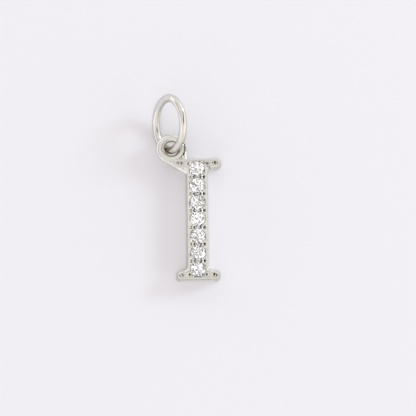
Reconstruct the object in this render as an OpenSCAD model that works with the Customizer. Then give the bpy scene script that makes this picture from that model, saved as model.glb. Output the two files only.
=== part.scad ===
// Initial pendant: a cast capital letter with a row of seven round stones, lying on its back.
// Lengths are in millimetres. Y runs up the letter, Z points out of its front face.
// The origin lies on the flat back, on the middle line of the shaft, halfway between the
// holes below the fourth stone and the third.

/* [Letter] */
// Metal of the letter beyond the end stones, at each end
end_margin = 0.375; // [0.35:0.005:0.6]
// Width of the upper serif at the back
top_serif_w = 4.12; // [3.6:0.02:6]
// Width of the lower serif at the back
foot_serif_w = 3.74; // [3.4:0.02:6]
// Width of the shaft at the back
shaft_w = 2.02; // [1.9:0.02:3]
// Thickness of the letter, back to rim
thick = 1.9; // [1.6:0.05:3]
// How far the side walls lean in between back and rim
wall_lean = 0.2; // [0.1:0.01:0.3]
// Height of a serif at its tip, measured at the back
serif_tip_h = 1.0; // [0.9:0.02:1.4]
// Slope of the inner edge of a serif, degrees
serif_slope = 15; // [7.5:7.5:22.5]
// Corner radius of the serif tips at the back
tip_r = 0.4; // [0.35:0.01:0.45]
// Radius of the hollow between shaft and serif at the back
bracket_r = 0.3; // [0.2:0.01:0.5]

/* [Bright cut recess] */
// Width of the raised rim that is left round the recess
rim_w = 0.13; // [0.1:0.01:0.14]
// Depth of the recess below the rim
recess_depth = 0.08; // [0.05:0.01:0.12]
// How far the recess walls lean out between floor and rim
recess_lean = 0.06; // [0.04:0.005:0.065]

/* [Stones] */
// Diameter of one round stone
stone_d = 1.25; // [1:0.01:1.4]
// Gap from the edge of one stone to the edge of the next
stone_gap = 0.15; // [0.1:0.01:0.4]
// Table width as a share of the stone diameter
table_share = 0.57; // [0.5:0.01:0.65]
// Crown height as a share of the stone diameter
crown_share = 0.16; // [0.12:0.01:0.18]
// Pavilion depth as a share of the stone diameter
pavilion_share = 0.43; // [0.4:0.01:0.45]
// Side corners of the kite facets, as a share of the stone radius
kite_share = 0.76; // [0.7:0.01:0.82]
// Tips of the lower girdle facets, as a share of the stone radius
lower_share = 0.22; // [0.15:0.01:0.35]
// Turn of each stone against the one above it, degrees
stone_turn = 17; // [0:1:44]
// Depth of the girdles below the rim
girdle_drop = 0.18; // [0.16:0.01:0.24]
// Thickness of the girdle
girdle_t = 0.03; // [0.02:0.005:0.06]
// Clearance between a stone and the metal of its seat
seat_gap = 0.025; // [0.02:0.005:0.05]
// Diameter of the hole drilled through below each stone
drill_d = 0.62; // [0.4:0.02:0.8]

/* [Beads] */
// Diameter of the grain beads that hold the stones
bead_d = 0.24; // [0.23:0.005:0.28]
// How far the beads stand above the rim
bead_rise = 0.02; // [0:0.01:0.08]
// Distance of the beads beside the shaft's stones from the middle line
bead_x = 0.39; // [0.37:0.005:0.4]
// Distance between two beads that stand side by side, one for each stone
bead_pair = 0.16; // [0.15:0.005:0.18]
// Sideways distance of the four corner beads
corner_bead_x = 0.6; // [0.59:0.005:0.61]
// Distance of the corner beads beyond the end stones
corner_bead_y = 0.42; // [0.41:0.005:0.43]
// Diameter of the beads in the serif tips
tip_bead_d = 0.2; // [0.18:0.01:0.24]
// Distance of the tip beads from the middle line
tip_bead_x = 1.42; // [1.2:0.01:1.46]
// Width of the small round cuts left and right of each bead
bead_cut = 0.12; // [0.1:0.005:0.14]
// Depth of those cuts below the rim
bead_cut_depth = 0.3; // [0.2:0.01:0.36]
// How much thinner the stem of a bead is than the bead
stem_less = 0.02; // [0.01:0.005:0.04]

/* [Loop] */
// Diameter of the cast loop, middle line of its wire
loop_d = 1.84; // [1.6:0.02:2.6]
// Thickness of the loop wire
loop_wire = 0.72; // [0.5:0.02:0.9]
// Distance of the loop middle left of the letter middle
loop_left = 2.13; // [1.9:0.01:2.4]
// Distance of the loop middle above the letter top
loop_above = 0.7; // [0.6:0.01:1.2]
// Height of the loop middle above the back
loop_z = 1.43; // [1.1:0.01:1.6]
// Thickness of the two roots that run from the loop into the letter
root_wire = 0.66; // [0.4:0.02:0.8]
// Place on the loop where the lower root leaves it, degrees
root_angle = 240; // [225:1:250]
// Length of the lower root
root_len = 2.35; // [2.2:0.05:2.8]
// Length of the upper root
upper_root_len = 1.2; // [1:0.05:1.4]
// Lean of the upper root towards the letter, degrees
upper_root_lean = 10; // [0:1:20]
// Width of the groove where the upper root hugs the loop
groove_w = 0.1; // [0.08:0.01:0.12]
// How far the groove lies inside the outer edge of the loop wire, to its middle
groove_in = 0.14; // [0.13:0.01:0.16]
// Depth of the groove below the top of the loop wire
groove_depth = 0.5; // [0.4:0.02:0.56]
// Where the groove starts on the loop, degrees
groove_from = -30; // [-34:1:-26]
// How far round the loop the groove runs, degrees
groove_turn = 52; // [40:1:60]

/* [Jump ring] */
// Length of the oval ring over its wire
ring_len = 5.6; // [5:0.05:8]
// Width of the oval ring over its wire
ring_w = 4.24; // [4:0.02:6]
// Thickness of the ring wire
ring_wire = 0.64; // [0.4:0.02:0.8]
// Width of the butt joint where the ends of the wire meet
joint_gap = 0.02; // [0.01:0.005:0.05]
// Low point of the resting ring, left of the loop middle
ring_low_left = 1.105; // [0.9:0.005:1.3]
// Low point of the resting ring, above the loop middle
ring_low_up = 1.037; // [0.8:0.005:1.3]
// Clearance between the resting ring and the ground
ground_gap = 0.028; // [0.02:0.002:0.1]
// Turn of the oval in its own plane, degrees
ring_turn = 35.5; // [0:0.5:90]
// Lean of the plane of the ring away from lying flat, degrees
ring_lean = 57; // [0:0.5:90]
// Heading of the leaning ring, degrees
ring_heading = -71.6; // [-180:0.1:180]

/* [Hidden] */
$fn = 64;
// a serif slope in steps of 7.5 degrees falls on a corner of this many sides
corner_fn = 48;
over = 0.3;
stones = 7;
facets = 8;
// a three, four, five triangle joins the two radii of the oval ring without a kink
three = 3;
four = 4;
five = 5;

stone_pitch = stone_d + stone_gap;
letter_h = stones * stone_d + (stones - 1) * stone_gap + 2 * end_margin;
top_y = letter_h / 2;
origin_y = stone_pitch / 2;
tip_top_r = tip_r - wall_lean;
over_lean = over * wall_lean / thick;
shaft_half = shaft_w / 2;
core_top = top_y - tip_r;
core_tip = top_y - serif_tip_h + tip_r;
core_mid_x = 0.4;
tip_bead_y = (core_top + core_tip) / 2;
recess_z = thick - recess_depth;
recess_high = recess_depth + over;
recess_far = recess_lean * recess_high / recess_depth;
recess_half = shaft_half - wall_lean - rim_w - recess_lean;
recess_reach = tip_top_r - rim_w - recess_lean;

stone_r = stone_d / 2;
girdle_z = thick - girdle_drop;
crown_h = stone_d * crown_share;
pavilion_h = stone_d * pavilion_share;
table_r = stone_r * table_share;
seat_r = stone_r + seat_gap;
end_stone_y = stone_pitch * (stones - 1) / 2;
corner_y = end_stone_y + corner_bead_y;
bead_floor = thick - bead_cut_depth;
bead_root = 0.06;
pavilion_slope = pavilion_h / stone_r;
seat_drop = seat_gap * sqrt(1 + pavilion_slope * pavilion_slope);

loop_y = top_y + loop_above;
loop_r = loop_d / 2;
groove_r = loop_r + loop_wire / 2 - groove_in;

oval_a = (ring_len - ring_wire) / 2;
oval_b = (ring_w - ring_wire) / 2;
oval_k = (oval_a - oval_b) * five / (three + four - five);
side_r = oval_b + oval_k * four / five;
end_r = oval_a - oval_k * three / five;
oval_angle = atan2(three, four);
end_y = oval_a - end_r;

silver = [0.83, 0.83, 0.80];
wire_silver = [0.80, 0.80, 0.78];
clear_stone = [0.92, 0.95, 0.98];

// measures from the middle of the letter, moved to the origin
module from_origin() {
    translate([0, -origin_y, 0]) children();
}

// outline points of one serif core, counter clockwise, tip radius not yet added
function serif_core(w) = let (
    x = w / 2 - tip_r,
    mid_y = core_tip - (x - core_mid_x) * tan(serif_slope))
    [[-x, core_tip], [-core_mid_x, mid_y], [core_mid_x, mid_y], [x, core_tip],
     [x, core_top], [-x, core_top]];

// a solid on a convex core whose walls and rounded corners all lean alike
module leaning_solid(core, r1, r2, h) {
    hull()
        for (p = core)
            translate([p[0], p[1], 0]) cylinder(h = h, r1 = r1, r2 = r2, $fn = corner_fn);
}

// the shaft between the serifs
module shaft() {
    reach = core_tip;
    translate([0, reach, 0])
        rotate([90, 0, 0])
            linear_extrude(2 * reach)
                polygon([[-shaft_half, 0], [shaft_half, 0],
                    [shaft_half - wall_lean, thick], [-shaft_half + wall_lean, thick]]);
}

// the hollow bracket between the shaft and the inner edge of a serif of width w
module bracket(w) {
    x = w / 2 - tip_r;
    s = sin(serif_slope);
    c = cos(serif_slope);
    cx = shaft_half + bracket_r;
    cy = core_tip + ((cx - x) * s - (tip_r + bracket_r)) / c;
    into = bracket_r + tip_r;
    difference() {
        linear_extrude(thick)
            polygon([[cx, cy], [cx - s * into, cy + c * into], [core_mid_x, core_tip],
                [core_mid_x, cy]]);
        translate([cx, cy, -over])
            cylinder(h = thick + 2 * over, r1 = bracket_r - over_lean,
                r2 = bracket_r + wall_lean + over_lean);
    }
}

// the cast letter before the recess is cut
module letter_blank() {
    shaft();
    leaning_solid(serif_core(top_serif_w), tip_r, tip_top_r, thick);
    rotate([0, 0, 180]) leaning_solid(serif_core(foot_serif_w), tip_r, tip_top_r, thick);
    bracket(top_serif_w);
    mirror([1, 0, 0]) bracket(top_serif_w);
    mirror([0, 1, 0]) bracket(foot_serif_w);
    rotate([0, 0, 180]) bracket(foot_serif_w);
}

// the cast loop with its two roots
module loop() {
    lower = [loop_r * cos(root_angle), loop_r * sin(root_angle), 0];
    translate([-loop_left, loop_y, loop_z]) {
        rotate_extrude() translate([loop_r, 0]) circle(d = loop_wire);
        translate(lower)
            rotate([0, 0, root_angle + 90]) rotate([0, 90, 0])
                cylinder(h = root_len, d = root_wire);
        translate([loop_r, 0, 0])
            rotate([0, 0, upper_root_lean - 90]) rotate([0, 90, 0])
                cylinder(h = upper_root_len, d = root_wire);
    }
}

// the groove along the loop wire, where the upper root hugs it
module root_groove() {
    translate([-loop_left, loop_y, loop_z + loop_wire / 2 - groove_depth])
        rotate_extrude(start = groove_from, angle = groove_turn)
            translate([groove_r - groove_w / 2, 0]) square([groove_w, groove_depth + over]);
}

// the bright cut recess inside the rim
module recess() {
    translate([0, core_tip, recess_z])
        rotate([90, 0, 0])
            linear_extrude(2 * core_tip)
                polygon([[-recess_half, 0], [recess_half, 0],
                    [recess_half + recess_far, recess_high],
                    [-recess_half - recess_far, recess_high]]);
    translate([0, 0, recess_z]) {
        leaning_solid(serif_core(top_serif_w), recess_reach, recess_reach + recess_far,
            recess_high);
        rotate([0, 0, 180])
            leaning_solid(serif_core(foot_serif_w), recess_reach,
                recess_reach + recess_far, recess_high);
    }
}

// height of the pavilion surface of the seat at a distance r from the middle of the stone
function seat_at(r) = girdle_z - girdle_t - pavilion_slope * (stone_r - r) - seat_drop;

// the drilled seat of one stone, open through the back
module seat() {
    rotate_extrude()
        polygon([[0, -over], [drill_d / 2, -over], [drill_d / 2, seat_at(drill_d / 2)],
            [seat_r, seat_at(seat_r)], [seat_r, thick + over], [0, thick + over]]);
}

// the room one stone needs, up to and over its crown
module stone_room() {
    table_z = girdle_z + crown_h;
    rotate_extrude()
        polygon([[0, seat_at(0)], [seat_r, seat_at(seat_r) - over],
            [seat_r, girdle_z + seat_gap / 2], [table_r + seat_gap, table_z + seat_gap],
            [0, table_z + seat_gap]]);
}

module at_stone(i) {
    translate([0, end_stone_y - i * stone_pitch, 0]) children();
}

// the place and size of every bead: x, y, diameter
bead_list = [for (side = [-1, 1]) each concat(
    [for (i = [0 : stones - 2], half = [-0.5, 0.5])
        [side * bead_x, end_stone_y - (i + 0.5) * stone_pitch + half * bead_pair, bead_d]],
    [for (end = [-1, 1]) [side * corner_bead_x, end * corner_y, bead_d]],
    [for (end = [-1, 1]) [side * tip_bead_x, end * tip_bead_y, tip_bead_d]])];

// the small cuts left and right of each bead, where the graver raised it
module bead_cuts() {
    for (b = bead_list, side = [-0.5, 0.5])
        translate([b[0] + side * b[2], b[1], bead_floor])
            cylinder(h = bead_cut_depth + over, d = bead_cut);
}

// a round stem with a domed head
module bead(x, y, d) {
    head_z = thick + bead_rise - d / 2;
    translate([x, y, 0]) {
        translate([0, 0, bead_floor - bead_root])
            cylinder(h = head_z - bead_floor + bead_root, d = d - stem_less);
        translate([0, 0, head_z]) sphere(d = d);
    }
}

// the grain beads that are pressed over the edges of the stones, and those in the serif tips
module beads() {
    difference() {
        for (b = bead_list) bead(b[0], b[1], b[2]);
        for (i = [0 : stones - 1]) at_stone(i) stone_room();
    }
}

module letter() {
    color(silver) from_origin() union() {
        difference() {
            union() {
                letter_blank();
                loop();
            }
            recess();
            for (i = [0 : stones - 1]) at_stone(i) seat();
            bead_cuts();
            root_groove();
        }
        beads();
    }
}

// a round brilliant: table, stars, kites and girdle facets above, mains and girdle facets below
module brilliant() {
    step = 360 / facets;
    kite_r = stone_r * kite_share;
    main_r = stone_r * lower_share;
    kite_z = crown_h * (stone_r - kite_r * cos(step / 2)) / (stone_r - table_r);
    main_z = -girdle_t - pavilion_h * (stone_r - main_r * cos(step / 2)) / stone_r;
    table = [for (i = [0 : 7]) [table_r * cos(i * step), table_r * sin(i * step), crown_h]];
    kites = [for (i = [0 : 7]) let (a = (i + 0.5) * step)
        [kite_r * cos(a), kite_r * sin(a), kite_z]];
    upper = [for (i = [0 : 15]) let (a = i * step / 2)
        [stone_r * cos(a), stone_r * sin(a), 0]];
    lower = [for (p = upper) [p[0], p[1], -girdle_t]];
    mains = [for (p = kites) [p[0] * main_r / kite_r, p[1] * main_r / kite_r, main_z]];
    culet = [[0, 0, -girdle_t - pavilion_h]];
    points = concat(table, kites, upper, lower, mains, culet);
    faces = concat(
        [[for (i = [7 : -1 : 0]) i]],
        [for (i = [0 : 7]) [i, (i + 1) % 8, 8 + i]],
        [for (i = [0 : 7]) [i, 8 + i, 16 + 2 * i, 8 + (i + 7) % 8]],
        [for (i = [0 : 7]) [8 + i, 16 + 2 * i + 1, 16 + 2 * i]],
        [for (i = [0 : 7]) [8 + i, 16 + (2 * i + 2) % 16, 16 + 2 * i + 1]],
        [for (i = [0 : 15]) [16 + i, 16 + (i + 1) % 16, 32 + (i + 1) % 16, 32 + i]],
        [for (i = [0 : 7]) [48 + i, 32 + 2 * i, 32 + 2 * i + 1]],
        [for (i = [0 : 7]) [48 + i, 32 + 2 * i + 1, 32 + (2 * i + 2) % 16]],
        [for (i = [0 : 7]) [56, 48 + (i + 7) % 8, 32 + 2 * i, 48 + i]]);
    translate([0, 0, girdle_z]) polyhedron(points, faces);
}

module stone(i) {
    color(clear_stone) from_origin() at_stone(i) rotate([0, 0, i * stone_turn]) brilliant();
}

// one quarter of the oval ring, half a side arc and half an end arc
module ring_quarter() {
    translate([oval_b - side_r, 0, 0])
        rotate_extrude(start = 0, angle = oval_angle)
            translate([side_r, 0]) circle(d = ring_wire);
    translate([0, end_y, 0])
        rotate_extrude(start = oval_angle, angle = 90 - oval_angle)
            translate([end_r, 0]) circle(d = ring_wire);
}

// the oval ring on its own middle, lying flat, its ends meeting at the low end
module oval_ring() {
    difference() {
        union() {
            ring_quarter();
            mirror([1, 0, 0]) ring_quarter();
            mirror([0, 1, 0]) ring_quarter();
            rotate([0, 0, 180]) ring_quarter();
        }
        translate([0, -oval_a, 0])
            cube([joint_gap, 2 * ring_wire, 2 * ring_wire], center = true);
    }
}

// the jump ring as it rests: low point near the ground, threaded through the loop, leaning on it
module jump_ring() {
    low = [end_y * sin(ring_turn), -end_y * cos(ring_turn) - end_r, 0];
    color(wire_silver) from_origin()
        translate([-loop_left - ring_low_left, loop_y + ring_low_up,
            ring_wire / 2 + ground_gap])
            rotate([0, 0, ring_heading])
                rotate([ring_lean, 0, 0])
                    translate(-low)
                        rotate([0, 0, ring_turn]) oval_ring();
}

letter();
stone(0);  // stone_1
stone(1);  // stone_2
stone(2);  // stone_3
stone(3);  // stone_4
stone(4);  // stone_5
stone(5);  // stone_6
stone(6);  // stone_7
jump_ring();
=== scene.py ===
import math
from math import radians

import bpy
from mathutils import Matrix, Vector


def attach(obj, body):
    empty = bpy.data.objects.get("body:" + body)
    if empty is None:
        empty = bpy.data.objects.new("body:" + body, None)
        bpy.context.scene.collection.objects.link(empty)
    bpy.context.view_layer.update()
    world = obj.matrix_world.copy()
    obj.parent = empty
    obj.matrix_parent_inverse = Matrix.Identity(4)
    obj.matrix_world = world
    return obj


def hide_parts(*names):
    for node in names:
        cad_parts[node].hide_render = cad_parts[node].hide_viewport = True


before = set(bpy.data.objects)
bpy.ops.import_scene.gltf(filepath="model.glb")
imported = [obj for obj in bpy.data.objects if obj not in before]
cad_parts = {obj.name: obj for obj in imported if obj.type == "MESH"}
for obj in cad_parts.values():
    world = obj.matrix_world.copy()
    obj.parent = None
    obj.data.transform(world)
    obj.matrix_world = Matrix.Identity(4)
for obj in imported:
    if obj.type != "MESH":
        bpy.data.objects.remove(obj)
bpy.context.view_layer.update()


# The letter. On the real pendant this is one lost-wax casting in sterling silver: shaft, serifs,
# loop and grain beads together. It is barrelled and hand polished, so its edges are soft and its
# flats a little uneven; shade is painted dark into the cuts round the stones.

MM = 0.001
# the loop of wire at the upper left corner
LOOP_MIDDLE = Vector((-2.13, 5.2, 1.43))
LOOP_RADIUS = 0.92
LOOP_WIRE_RADIUS = 0.36
ROOT_RADIUS = 0.33
# each root: angle on the loop where it starts, heading, length that is rebuilt
ROOTS = ((240, 330, 1.9), (0, 280, 0.95))
# the groove where the upper root hugs the loop
GROOVE_RADIUS, GROOVE_WIDTH, GROOVE_DEPTH = 1.14, 0.1, 0.5
GROOVE_FROM, GROOVE_TURN = -30, 52
# the drilled seats, and the middles of the gaps between them
STONE_PITCH, SEAT_EDGE = 1.4, 0.65
GAPS = (2.8, 1.4, 0.0, -1.4, -2.8, -4.2)
# the graver cuts in each gap and in the serif tips: place on the front, and how much painted shade
# lies there
GAP_CUTS = ((-0.3, 0.0, 0.85), (-0.1, 0.04, 0.2), (0.27, 0.0, 0.75), (0.53, 0.02, 1.0))
TIP_CUTS = ((-1.3, 3.98, 0.75), (-1.6, 4.02, 0.4), (-0.72, 3.92, 0.4), (0.6, 3.98, 0.6),
            (0.8, 3.96, 0.8), (1.5, 4.0, 1.0), (1.05, 3.55, 0.6), (0.92, 3.72, 0.4),
            (-1.3, -5.36, 0.7), (-1.5, -5.42, 0.35), (-0.7, -5.32, 0.9), (-0.48, -5.3, 0.9),
            (0.7, -5.3, 0.8), (0.5, -5.36, 0.35), (1.34, -5.3, 1.0), (1.54, -5.38, 0.7))
CUT_WIDE, CUT_LONG, CUT_FLOOR = 0.1, 0.14, 1.4
# the worn cuts left of the beads: their place across, half their width and length, and their level
WORN_X, WORN_WIDE, WORN_LONG, WORN_LEVEL = -0.51, 0.09, 0.18, 1.76
# the grain that the wax is rebuilt with, what counts as one point, and where the wire begins
GRAIN = 0.022
WELD = 0.0005
WIRE_FROM_Y = 4.36
MOST_TRIANGLES = 190000


def clear_selection():
    bpy.ops.object.select_all(action="DESELECT")


def only(piece):
    clear_selection()
    piece.select_set(True)
    bpy.context.view_layer.objects.active = piece


def apply_modifier(piece, kind, name, **settings):
    only(piece)
    m = piece.modifiers.new(name, kind)
    for key, value in settings.items():
        setattr(m, key, value)
    bpy.ops.object.modifier_apply(modifier=m.name)


# the wax form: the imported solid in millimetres, which goes back to metres when it is finished
clear_selection()
wax = bpy.data.objects.new("cast_letter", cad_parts["letter"].data.copy())
bpy.context.scene.collection.objects.link(wax)
wax.data.transform(Matrix.Scale(1 / MM, 4))
wax.data.materials.clear()
only(wax)
bpy.ops.object.mode_set(mode="EDIT")
bpy.ops.mesh.select_all(action="SELECT")
bpy.ops.mesh.remove_doubles(threshold=WELD)
bpy.ops.object.mode_set(mode="OBJECT")

# the wax wire of the loop and its two roots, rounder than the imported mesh
clear_selection()
bpy.ops.mesh.primitive_torus_add(location=LOOP_MIDDLE, major_radius=LOOP_RADIUS,
                                 minor_radius=LOOP_WIRE_RADIUS, major_segments=120,
                                 minor_segments=48)
wires = [bpy.context.object]
for start, heading, length in ROOTS:
    a, b = radians(start), radians(heading)
    foot = LOOP_MIDDLE + LOOP_RADIUS * Vector((math.cos(a), math.sin(a), 0))
    along = Vector((math.cos(b), math.sin(b), 0))
    clear_selection()
    bpy.ops.mesh.primitive_cylinder_add(vertices=48, radius=ROOT_RADIUS, depth=length,
                                        location=foot + along * length / 2,
                                        rotation=along.to_track_quat("Z", "Y").to_euler())
    wires.append(bpy.context.object)

# a curved blade, swept along the groove, takes it out of the loop and the upper root
toward = Matrix.Rotation(radians(GROOVE_FROM), 3, "Z") @ Vector((GROOVE_RADIUS, 0, 0))
clear_selection()
bpy.ops.mesh.primitive_plane_add(
    size=1, location=LOOP_MIDDLE + toward + Vector((0, 0, LOOP_WIRE_RADIUS)),
    rotation=(radians(90), 0, radians(GROOVE_FROM)))
blade = bpy.context.object
blade.scale = (GROOVE_WIDTH, 2 * GROOVE_DEPTH, 1)
bpy.ops.object.transform_apply(location=True, rotation=True, scale=True)
bpy.ops.object.mode_set(mode="EDIT")
bpy.ops.mesh.select_all(action="SELECT")
bpy.ops.mesh.spin(steps=24, angle=radians(GROOVE_TURN), center=LOOP_MIDDLE,
                  axis=(0, 0, -1), dupli=False)
bpy.ops.mesh.select_all(action="SELECT")
bpy.ops.mesh.fill_holes(sides=4)
bpy.ops.mesh.normals_make_consistent(inside=False)
bpy.ops.object.mode_set(mode="OBJECT")
for w in (wires[0], wires[2]):
    apply_modifier(w, "BOOLEAN", "groove", operation="DIFFERENCE", object=blade)
bpy.data.objects.remove(blade)

clear_selection()
for w in wires:
    w.select_set(True)
wax.select_set(True)
bpy.context.view_layer.objects.active = wax
bpy.ops.object.join()

apply_modifier(wax, "REMESH", "fuse", mode="VOXEL", voxel_size=GRAIN, use_smooth_shade=True)

# the cuts left of the beads are worn almost level with the floor of the recess
for v in wax.data.vertices:
    if abs(v.co.x - WORN_X) < WORN_WIDE and CUT_FLOOR < v.co.z < WORN_LEVEL:
        if min(abs(v.co.y - gap) for gap in GAPS) < WORN_LONG:
            v.co.z = WORN_LEVEL
apply_modifier(wax, "SMOOTH", "barrelling", factor=0.5, iterations=2)


def in_groove(point):
    out = point - LOOP_MIDDLE
    turn = math.degrees(math.atan2(out.y, out.x)) - GROOVE_FROM
    return abs(out.xy.length - GROOVE_RADIUS) < GROOVE_WIDTH and -5 < turn < GROOVE_TURN + 5


# the wire is smoothed further, so that its roots run softly into the letter
soft = wax.vertex_groups.new(name="wire")
soft.add([v.index for v in wax.data.vertices if v.co.y > WIRE_FROM_Y and not in_groove(v.co)],
         1.0, "REPLACE")
apply_modifier(wax, "SMOOTH", "fillet", factor=0.5, iterations=26, vertex_group="wire")
wax.vertex_groups.clear()

triangles = sum(len(p.vertices) - 2 for p in wax.data.polygons)
if triangles > MOST_TRIANGLES:
    apply_modifier(wax, "DECIMATE", "thin_out", ratio=MOST_TRIANGLES / triangles)

# the painted shade lies on every point of the front that is near a cut, most in its middle
marks = [(x, y + gap, much) for gap in GAPS for x, y, much in GAP_CUTS] + list(TIP_CUTS)
cuts = wax.data.attributes.new("cuts", "FLOAT", "POINT")
for v in wax.data.vertices:
    if v.co.z > CUT_FLOOR:
        for x, y, much in marks:
            away = math.hypot((v.co.x - x) / CUT_WIDE, (v.co.y - y) / CUT_LONG)
            if away < 1.0:
                cuts.data[v.index].value = max(cuts.data[v.index].value,
                                               much * min(1.0, 2.5 * (1.0 - away)))

wax.data.transform(Matrix.Scale(MM, 4))
only(wax)
bpy.ops.object.shade_smooth()


def new_material(name):
    mat = bpy.data.materials.new(name)
    mat.use_nodes = True
    tree = mat.node_tree
    tree.nodes.clear()
    out = tree.nodes.new("ShaderNodeOutputMaterial")
    return mat, tree, out


def add_node(tree, kind, values=None, **settings):
    """A node of that kind, with its settings, and its inputs set or linked by name."""
    n = tree.nodes.new(kind)
    for key, value in settings.items():
        setattr(n, key, value)
    for slot, value in (values or {}).items():
        if isinstance(value, bpy.types.NodeSocket):
            tree.links.new(value, n.inputs[slot])
        else:
            n.inputs[slot].default_value = value
    return n


def ramp(tree, value, low, high, at_low, at_high, smooth=True):
    """The value, mapped from low..high to at_low..at_high, and held beyond the ends."""
    return add_node(tree, "ShaderNodeMapRange",
                    {"Value": value, "From Min": low, "From Max": high, "To Min": at_low,
                     "To Max": at_high},
                    interpolation_type="SMOOTHSTEP" if smooth else "LINEAR").outputs[0]


def calc(tree, operation, *values):
    """The outcome of one sum on the values."""
    return add_node(tree, "ShaderNodeMath", dict(enumerate(values)),
                    operation=operation).outputs[0]


def mix_colour(tree, share, a, b):
    """Colour a where the share is 0, colour b where it is 1."""
    n = add_node(tree, "ShaderNodeMix", {"Factor": share}, data_type="RGBA")
    for slot, value in ((6, a), (7, b)):
        if isinstance(value, bpy.types.NodeSocket):
            tree.links.new(value, n.inputs[slot])
        else:
            n.inputs[slot].default_value = (*value, 1)
    return n.outputs[2]


# polished silver, its warmer and darker tones from place to place, and the shade and light painted
# on it
SILVER = (0.985, 0.98, 0.94)
SILVER_WARM = (0.9, 0.893, 0.85)
PORE_SHADE = (0.71, 0.695, 0.635)
EDGE_TINT = (0.78, 0.76, 0.72)
PAINTED_CUT_SHADE = (0.035, 0.032, 0.028)
HOLE_SHADE = (0.5, 0.46, 0.39)
PAINTED_WALL_LIGHT = (0.98, 0.975, 0.96)
WALL_SHADE = (0.66, 0.60, 0.57)
SEAT_SATIN = (0.97, 0.955, 0.92)

cast_silver, tree, out = new_material("polished_cast_silver")
where = add_node(tree, "ShaderNodeTexCoord").outputs["Object"]
patches = add_node(tree, "ShaderNodeTexNoise",
                   {"Vector": where, "Scale": 700.0, "Detail": 2.0}).outputs["Fac"]
scuffs = add_node(tree, "ShaderNodeTexNoise",
                  {"Vector": where, "Scale": 5200.0, "Detail": 3.0}).outputs["Fac"]
hand_wave = add_node(tree, "ShaderNodeTexNoise",
                     {"Vector": where, "Scale": 1500.0, "Detail": 1.0}).outputs["Fac"]
open_air = add_node(tree, "ShaderNodeAmbientOcclusion", {"Distance": 0.00035},
                    samples=8, only_local=True).outputs["AO"]
wide_air = add_node(tree, "ShaderNodeAmbientOcclusion", {"Distance": 0.0014},
                    samples=8, only_local=True).outputs["AO"]
pores = add_node(tree, "ShaderNodeTexNoise",
                 {"Vector": where, "Scale": 9000.0, "Detail": 1.0}).outputs["Fac"]
cloudy = add_node(tree, "ShaderNodeMix", {"Factor": 0.6, 2: patches, 3: scuffs}).outputs[0]
metal_tone = mix_colour(tree, ramp(tree, cloudy, 0.38, 0.62, 0.0, 1.0), SILVER, SILVER_WARM)
spot = add_node(tree, "ShaderNodeSeparateXYZ", {0: where})
facing = add_node(tree, "ShaderNodeSeparateXYZ",
                  {0: add_node(tree, "ShaderNodeTexCoord").outputs["Normal"]})

# fine pores of the casting, most on the front of the letter and few on the loop
porous = calc(tree, "MULTIPLY", ramp(tree, spot.outputs["Y"], 4.1 * MM, 4.6 * MM, 0.95, 0.15),
              ramp(tree, facing.outputs["Z"], 0.5, 0.9, 0.1, 1.0))
porous = calc(tree, "MULTIPLY", porous, ramp(tree, pores, 0.42, 0.68, 0.0, 1.0))
metal_tone = mix_colour(tree, porous, metal_tone, PORE_SHADE)

# painted shade inside the loop and in other close places, and the head and foot darker than the
# shaft
metal_tone = mix_colour(tree, ramp(tree, wide_air, 0.45, 0.8, 0.0, 1.0), HOLE_SHADE, metal_tone)
from_middle = calc(tree, "ABSOLUTE", calc(tree, "ADD", spot.outputs["Y"], STONE_PITCH * MM / 2))
metal_tone = mix_colour(tree, ramp(tree, from_middle, 4.2 * MM, 4.6 * MM, 0.0, 0.55),
                        metal_tone, PORE_SHADE)

# painted shade on the walls that face left, and painted light on the lower walls of the shaft on
# the right
painted_left_shade = ramp(tree, facing.outputs["X"], -0.95, -0.7, 0.35, 0.0)
metal_tone = mix_colour(tree, painted_left_shade, metal_tone, WALL_SHADE)
painted_wall_light = calc(tree, "MULTIPLY", ramp(tree, facing.outputs["Z"], 0.2, 0.45, 1.0, 0.0),
                   ramp(tree, facing.outputs["X"], -0.4, 0.0, 0.0, 1.0))
painted_wall_light = calc(tree, "MULTIPLY", painted_wall_light,
                   ramp(tree, spot.outputs["Z"], 0.7 * MM, 1.2 * MM, 1.0, 0.0))
painted_wall_light = calc(tree, "MULTIPLY", painted_wall_light,
                   ramp(tree, spot.outputs["X"], 1.25 * MM, 1.45 * MM, 1.0, 0.0))
metal_tone = mix_colour(tree, painted_wall_light, metal_tone, PAINTED_WALL_LIGHT)
# the edge tint is lifted by the same painted light
edge_tint_and_wall_light = mix_colour(tree, painted_wall_light, EDGE_TINT, PAINTED_WALL_LIGHT)

# the drilled seats round the stones, which stay satin
from_stone = calc(tree, "SUBTRACT", calc(tree, "WRAP", spot.outputs["Y"], STONE_PITCH * MM, 0.0),
                  STONE_PITCH * MM / 2)
from_axis = calc(tree, "SQRT", calc(tree, "ADD", calc(tree, "POWER", spot.outputs["X"], 2.0),
                                    calc(tree, "POWER", from_stone, 2.0)))
seat = calc(tree, "MULTIPLY",
            ramp(tree, from_axis, SEAT_EDGE * MM, (SEAT_EDGE + 0.02) * MM, 1.0, 0.0),
            ramp(tree, spot.outputs["Z"], 1.2 * MM, 1.3 * MM, 0.0, 1.0))
seat = calc(tree, "MULTIPLY", seat, ramp(tree, from_middle, 4.85 * MM, 4.87 * MM, 1.0, 0.0))

# painted shade in the cuts and in the narrowest corners, where little light reaches
uneven = calc(tree, "MULTIPLY_ADD", scuffs, 0.5, -0.25)
unshaded = ramp(tree, calc(tree, "ADD", open_air, uneven), 0.05, 0.4, 0.0, 1.0)
cut = add_node(tree, "ShaderNodeAttribute", attribute_name="cuts").outputs["Fac"]
unshaded = calc(tree, "MULTIPLY", unshaded, calc(tree, "SUBTRACT", 1.0, cut))
tone = mix_colour(tree, unshaded, PAINTED_CUT_SHADE, metal_tone)
tone = mix_colour(tree, seat, tone, SEAT_SATIN)

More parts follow.
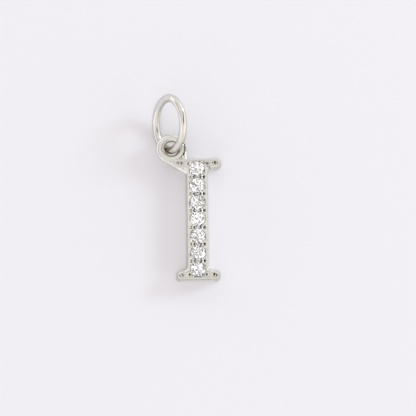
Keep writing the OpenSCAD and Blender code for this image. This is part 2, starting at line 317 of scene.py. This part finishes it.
# the polish: a slow wave left by hand, and fine scuffs
shine = calc(tree, "MULTIPLY_ADD", seat, 0.5, ramp(tree, scuffs, 0.3, 0.7, 0.07, 0.15))
bump_wave = add_node(tree, "ShaderNodeBump",
                     {"Height": hand_wave, "Strength": 0.35, "Distance": 0.00002})
bump_scuff = add_node(tree, "ShaderNodeBump",
                      {"Height": scuffs, "Strength": 0.5, "Distance": 0.000006,
                       "Normal": bump_wave.outputs[0]})
metal = add_node(tree, "ShaderNodeBsdfPrincipled",
                 {"Base Color": tone, "Metallic": 1.0, "Specular Tint": edge_tint_and_wall_light,
                  "Roughness": shine, "Normal": bump_scuff.outputs[0]})
tree.links.new(metal.outputs[0], out.inputs[0])
wax.data.materials.append(cast_silver)

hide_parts("letter")
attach(wax, "root")


# The stones. Seven round brilliants of clear cubic zirconia, cut with a table, crown, girdle and
# pavilion, each dropped into its drilled seat and held by the beads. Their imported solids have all
# the facets, so they stay, and get the clear crystal that bends light hard.

STONES = 7
CRYSTAL_IOR = 2.16
clear_crystal, tree, out = new_material("clear_zirconia")
where = add_node(tree, "ShaderNodeTexCoord").outputs["Object"]
haze = add_node(tree, "ShaderNodeTexNoise",
                {"Vector": where, "Scale": 2600.0, "Detail": 2.0}).outputs["Fac"]
crystal = add_node(tree, "ShaderNodeBsdfPrincipled",
                   {"Base Color": (1.0, 1.0, 1.0, 1.0), "IOR": CRYSTAL_IOR,
                    "Transmission Weight": 1.0,
                    "Roughness": ramp(tree, haze, 0.6, 0.8, 0.0, 0.015)})
tree.links.new(crystal.outputs[0], out.inputs[0])
for number in range(1, STONES + 1):
    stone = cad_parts["stone_%d" % number]
    stone.data.materials.clear()
    stone.data.materials.append(clear_crystal)


# The jump ring. Round sterling wire, drawn through a plate, bent to an oval and closed with a
# butt joint, then threaded through the loop. It lies with its low end near the table and leans
# on the loop.

# half the oval's length and width to the middle of the wire, and its arcs at the sides and ends
OVAL_LONG = 2.48
OVAL_WIDE = 1.8
SIDE_RADIUS = 3.16
END_RADIUS = 1.46
WIRE_RADIUS = 0.32
JOINT_GAP = 0.02
END_Y = OVAL_LONG - END_RADIUS
SIDE_X = SIDE_RADIUS - OVAL_WIDE
TURN_OVER = math.degrees(math.atan2(3, 4))
JOINT_ANGLE = math.degrees(math.asin(JOINT_GAP / 2 / END_RADIUS))
# each arc of the oval in turn: its middle, how far it turns in degrees, and its steps
ARCS = (((0, -END_Y), 90 - TURN_OVER - JOINT_ANGLE, 26),
        ((-SIDE_X, 0), 2 * TURN_OVER, 40),
        ((0, END_Y), 2 * (90 - TURN_OVER), 54),
        ((SIDE_X, 0), 2 * TURN_OVER, 40),
        ((0, -END_Y), 90 - TURN_OVER - JOINT_ANGLE, 26))
# where the low end lies, and how the oval is turned in its plane, leaned up and headed
RING_LOW = Vector((-3.235, 6.237, 0.348))
RING_TURN, RING_LEAN, RING_HEADING = 35.5, 57.0, -71.6

# the wire's round section is spun along the arcs
start = radians(-90 + JOINT_ANGLE)
section_middle = Vector((END_RADIUS * math.cos(start), -END_Y + END_RADIUS * math.sin(start), 0))
out_from_middle = Vector((math.cos(start), math.sin(start), 0))
clear_selection()
bpy.ops.mesh.primitive_circle_add(
    vertices=40, radius=WIRE_RADIUS, fill_type="NGON", location=section_middle,
    rotation=Matrix((out_from_middle, Vector((0, 0, 1)),
                     out_from_middle.cross(Vector((0, 0, 1))))).transposed().to_euler())
ring = bpy.context.object
ring.name = "jump_ring_wire"
bpy.ops.object.transform_apply(location=True, rotation=True, scale=True)
bpy.ops.object.mode_set(mode="EDIT")
bpy.ops.mesh.select_all(action="SELECT")
for middle, angle, steps in ARCS:
    bpy.ops.mesh.spin(steps=steps, angle=radians(angle), center=(*middle, 0),
                      axis=(0, 0, -1), dupli=False)
bpy.ops.mesh.select_all(action="SELECT")
bpy.ops.mesh.remove_doubles(threshold=WELD)
bpy.ops.mesh.normals_make_consistent(inside=False)
bpy.ops.object.mode_set(mode="OBJECT")

# where each point lies round the wire and along it, for the lines left by the drawing plate
draw = ring.data.attributes.new("draw", "FLOAT_VECTOR", "POINT")
turn_x = SIDE_RADIUS * math.cos(radians(TURN_OVER)) - SIDE_X
turn_y = SIDE_RADIUS * math.sin(radians(TURN_OVER))
for v in ring.data.vertices:
    x, y, z = v.co
    if abs(y) * turn_x < turn_y * abs(x):
        middle, radius = Vector((math.copysign(SIDE_X, -x), 0, 0)), SIDE_RADIUS
    else:
        middle, radius = Vector((0, math.copysign(END_Y, y), 0)), END_RADIUS
    flat = Vector((x, y, 0)) - middle
    across = (flat.length - radius) / WIRE_RADIUS
    draw.data[v.index].vector = (across, z / WIRE_RADIUS, 0.05 * math.atan2(y, x))

low_point = Vector((0, -END_Y, 0))
low_point.rotate(Matrix.Rotation(radians(RING_TURN), 3, "Z"))
low_point -= Vector((0, END_RADIUS, 0))
ring.matrix_world = (Matrix.Scale(MM, 4) @ Matrix.Translation(RING_LOW)
                     @ Matrix.Rotation(radians(RING_HEADING), 4, "Z")
                     @ Matrix.Rotation(radians(RING_LEAN), 4, "X")
                     @ Matrix.Translation(-low_point)
                     @ Matrix.Rotation(radians(RING_TURN), 4, "Z"))
only(ring)
bpy.ops.object.transform_apply(location=True, rotation=True, scale=True)
bpy.ops.object.shade_smooth_by_angle(angle=radians(40))

WIRE_SILVER = (0.80, 0.79, 0.745)
WIRE_WARM = (0.745, 0.73, 0.675)
WIRE_SHADE = (0.5, 0.46, 0.395)
WIRE_EDGE_TINT = (0.62, 0.60, 0.55, 1.0)
drawn_silver, tree, out = new_material("drawn_silver_wire")
where = add_node(tree, "ShaderNodeTexCoord").outputs["Object"]
round_wire = add_node(tree, "ShaderNodeAttribute", attribute_name="draw").outputs["Vector"]
lines = add_node(tree, "ShaderNodeTexNoise",
                 {"Vector": round_wire, "Scale": 9.0, "Detail": 3.0}).outputs["Fac"]
patches = add_node(tree, "ShaderNodeTexNoise",
                   {"Vector": where, "Scale": 900.0, "Detail": 2.0}).outputs["Fac"]
tone = mix_colour(tree, ramp(tree, patches, 0.35, 0.65, 0.0, 1.0), WIRE_SILVER, WIRE_WARM)
# painted shade on the wire where it runs close to the loop and the table
in_loop = add_node(tree, "ShaderNodeAmbientOcclusion", {"Distance": 0.0009},
                   samples=8, only_local=False).outputs["AO"]
tone = mix_colour(tree, ramp(tree, in_loop, 0.4, 0.85, 0.0, 1.0), WIRE_SHADE, tone)
bump_lines = add_node(tree, "ShaderNodeBump",
                      {"Height": lines, "Strength": 0.2, "Distance": 0.000004})
wire = add_node(tree, "ShaderNodeBsdfPrincipled",
                {"Base Color": tone, "Metallic": 1.0, "Specular Tint": WIRE_EDGE_TINT,
                 "Roughness": ramp(tree, patches, 0.3, 0.7, 0.03, 0.07),
                 "Normal": bump_lines.outputs[0]})
tree.links.new(wire.outputs[0], out.inputs[0])
ring.data.materials.append(drawn_silver)

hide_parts("jump_ring")
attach(ring, "root")


# The table that the pendant lies on: a sheet of smooth pale card, faintly lilac, with a fine
# tooth. It is no part of the pendant.

CARD = (0.94, 0.922, 0.968, 1.0)
CARD_WIDE, CARD_BELOW = 1.2, 0.00001
clear_selection()
bpy.ops.mesh.primitive_plane_add(size=CARD_WIDE, location=(0, 0, -CARD_BELOW))
ground = bpy.context.object
ground.name = "ground_card"
pale_card, tree, out = new_material("pale_card")
where = add_node(tree, "ShaderNodeTexCoord").outputs["Object"]
tooth = add_node(tree, "ShaderNodeTexNoise",
                 {"Vector": where, "Scale": 3000.0, "Detail": 2.0}).outputs["Fac"]
card_bump = add_node(tree, "ShaderNodeBump",
                     {"Height": tooth, "Strength": 0.1, "Distance": 0.000005})
paper = add_node(tree, "ShaderNodeBsdfPrincipled",
                 {"Base Color": CARD, "Roughness": 0.9, "Specular IOR Level": 0.1,
                  "Normal": card_bump.outputs[0]})
tree.links.new(paper.outputs[0], out.inputs[0])
ground.data.materials.append(pale_card)


# The light: a white cloth tent all round, a little darker overhead, with two dark seams, a
# brighter wall on the left and on the right, and threads that show only through the stones. One
# soft window of cooler light stands low on the right.

TENT = 0.94
TENT_WHITE = (1.0, 0.979, 0.969, 1.0)
KEY_WHITE = (0.8, 0.93, 1.0)
world = bpy.data.worlds.new("tent")
bpy.context.scene.world = world
world.use_nodes = True
tree = world.node_tree
tree.nodes.clear()
sky = add_node(tree, "ShaderNodeTexCoord").outputs["Generated"]
axes = add_node(tree, "ShaderNodeSeparateXYZ", {0: sky})


def band(tree, value, low, high, soft):
    """1 between low and high, falling to 0 over a soft edge at each end."""
    rise = ramp(tree, value, low - soft / 2, low + soft / 2, 0.0, 1.0)
    fall = ramp(tree, value, high - soft / 2, high + soft / 2, 1.0, 0.0)
    return calc(tree, "MULTIPLY", rise, fall)


def shaded(tree, light, zone, share):
    """The light, less a share of it inside the zone."""
    return calc(tree, "MULTIPLY", light, calc(tree, "MULTIPLY_ADD", zone, -share, 1.0))


# the tent is laid out by the angle from straight up and the heading, 0 on the right
from_up = calc(tree, "ARCCOSINE", axes.outputs["Z"])
heading = calc(tree, "ARCTAN2", axes.outputs["Y"], axes.outputs["X"])
seam = calc(tree, "MULTIPLY", band(tree, from_up, radians(32), radians(46), radians(4)),
            band(tree, heading, radians(-75), radians(24), radians(10)))
left_seam = calc(tree, "MULTIPLY", band(tree, from_up, radians(48), radians(66), radians(10)),
                 ramp(tree, calc(tree, "ABSOLUTE", heading), radians(140), radians(155), 0.0, 1.0))
left_wall = calc(tree, "MULTIPLY", band(tree, from_up, radians(68), radians(95), radians(6)),
                 ramp(tree, calc(tree, "ABSOLUTE", heading), radians(110), radians(140), 0.0, 1.0))
right_wall = calc(tree, "MULTIPLY", band(tree, from_up, radians(50), radians(95), radians(14)),
                  ramp(tree, calc(tree, "ABSOLUTE", heading), radians(50), radians(80), 1.0, 0.0))
roof = ramp(tree, from_up, radians(30), radians(55), 1.0, 0.0)
weave = add_node(tree, "ShaderNodeTexNoise",
                 {"Vector": sky, "Scale": 30.0, "Detail": 0.0}).outputs["Fac"]
through_stone = add_node(tree, "ShaderNodeLightPath").outputs["Is Transmission Ray"]
threads = calc(tree, "MULTIPLY", ramp(tree, weave, 0.44, 0.56, -0.7, 0.75), through_stone)
level = calc(tree, "MULTIPLY_ADD", threads, TENT, TENT)
level = shaded(tree, level, seam, 0.96)
level = shaded(tree, level, left_seam, 0.6)
level = shaded(tree, level, roof, 0.1)
level = shaded(tree, level, left_wall, -0.4)
level = shaded(tree, level, right_wall, -0.3)
cloth = add_node(tree, "ShaderNodeBackground", {"Color": TENT_WHITE, "Strength": level})
add_node(tree, "ShaderNodeOutputWorld", {0: cloth.outputs[0]})

# the window: its direction, its distance, half the angle it takes up, and its power
KEY_FROM = Vector((35.6, 17.6, 22.6)).normalized()
KEY_FAR = 0.6
KEY_HALF_WIDTH = 7.5
KEY_POWER = 0.71
lamp = bpy.data.lights.new("window", "AREA")
lamp.shape = "DISK"
lamp.size = 2 * KEY_FAR * math.tan(radians(KEY_HALF_WIDTH))
lamp.energy = KEY_POWER
lamp.color = KEY_WHITE
key = bpy.data.objects.new("window", lamp)
bpy.context.scene.collection.objects.link(key)
key.location = KEY_FROM * KEY_FAR
key.rotation_euler = (-KEY_FROM).to_track_quat("-Z", "Y").to_euler()


# The camera: almost straight above, leaning towards the foot of the letter and turned a little.
# It is aimed so that the middle of the letter falls on its place in the picture.

# the camera's distance, the photograph's scale and width, and how it leans and rolls
FAR = 0.2
PX_PER_MM = 11.9
PICTURE = 416
LEAN = radians(2.8)
ROLL = radians(0.7)
LETTER_PX = (197.7, 219.95)
LETTER_MIDDLE = Vector((0, -0.0007, 0))
look = Vector((0, math.sin(LEAN), -math.cos(LEAN)))
across, upward = Vector((1, 0, 0)), Vector((1, 0, 0)).cross(look)
right = math.cos(ROLL) * across - math.sin(ROLL) * upward
top = math.sin(ROLL) * across + math.cos(ROLL) * upward
aim = LETTER_MIDDLE + ((PICTURE / 2 - LETTER_PX[0]) * right
                       + (LETTER_PX[1] - PICTURE / 2) * top) / PX_PER_MM * MM
lens = bpy.data.cameras.new("camera")
lens.sensor_width = 36
lens.lens = PX_PER_MM * FAR / MM / PICTURE * lens.sensor_width
lens.clip_start = 0.01
lens.clip_end = 10
camera = bpy.data.objects.new("camera", lens)
bpy.context.scene.collection.objects.link(camera)
camera.location = aim - look * FAR
camera.rotation_euler = Matrix((right, top, -look)).transposed().to_euler()
bpy.context.scene.camera = camera
bpy.context.scene.view_settings.view_transform = "Standard"
